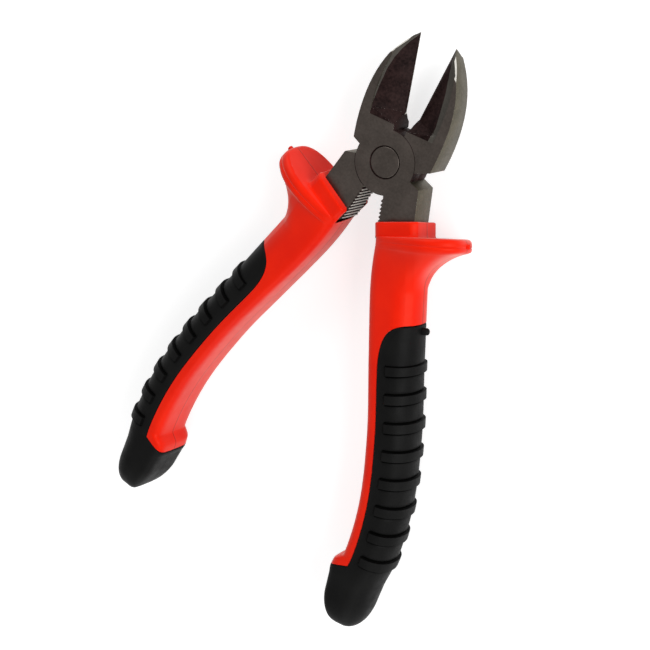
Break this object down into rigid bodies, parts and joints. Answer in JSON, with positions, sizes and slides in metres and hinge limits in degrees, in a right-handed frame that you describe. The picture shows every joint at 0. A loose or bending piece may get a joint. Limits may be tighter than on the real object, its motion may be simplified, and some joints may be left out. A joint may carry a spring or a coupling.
{
  "type": "side-cutting pliers",
  "caption": "Side-cutting pliers with lap-jointed steel jaws that turn on a flush rivet, and red handles with thumb guards and ribbed black grips, for cutting wire.",
  "frame": {"origin": "centre of the rivet's back face", "axes": "+Z along the rivet towards the front face, +Y from the rivet towards the jaws, X across the jaws"},
  "size_m": [0.0896, 0.1567, 0.0186],
  "materials": {
    "dark_steel": "dark oiled steel with ground edges",
    "red_plastic": "semi-gloss",
    "black_rubber": "fine-grained matt"
  },
  "bodies": {
    "front_half": {"front_lever": "dark_steel", "pivot_rivet": "dark_steel", "right_sleeve": "red_plastic", "right_grip": "black_rubber"},
    "back_half": {"back_lever": "dark_steel", "left_sleeve": "red_plastic", "left_grip": "black_rubber"}
  },
  "joints": [
    {"name": "pivot", "type": "hinge", "parent": "front_half", "child": "back_half", "pos_m": [0, 0, 0.0043], "axis": [0, 0, 1], "range_deg": [-16, 18]}
  ]
}
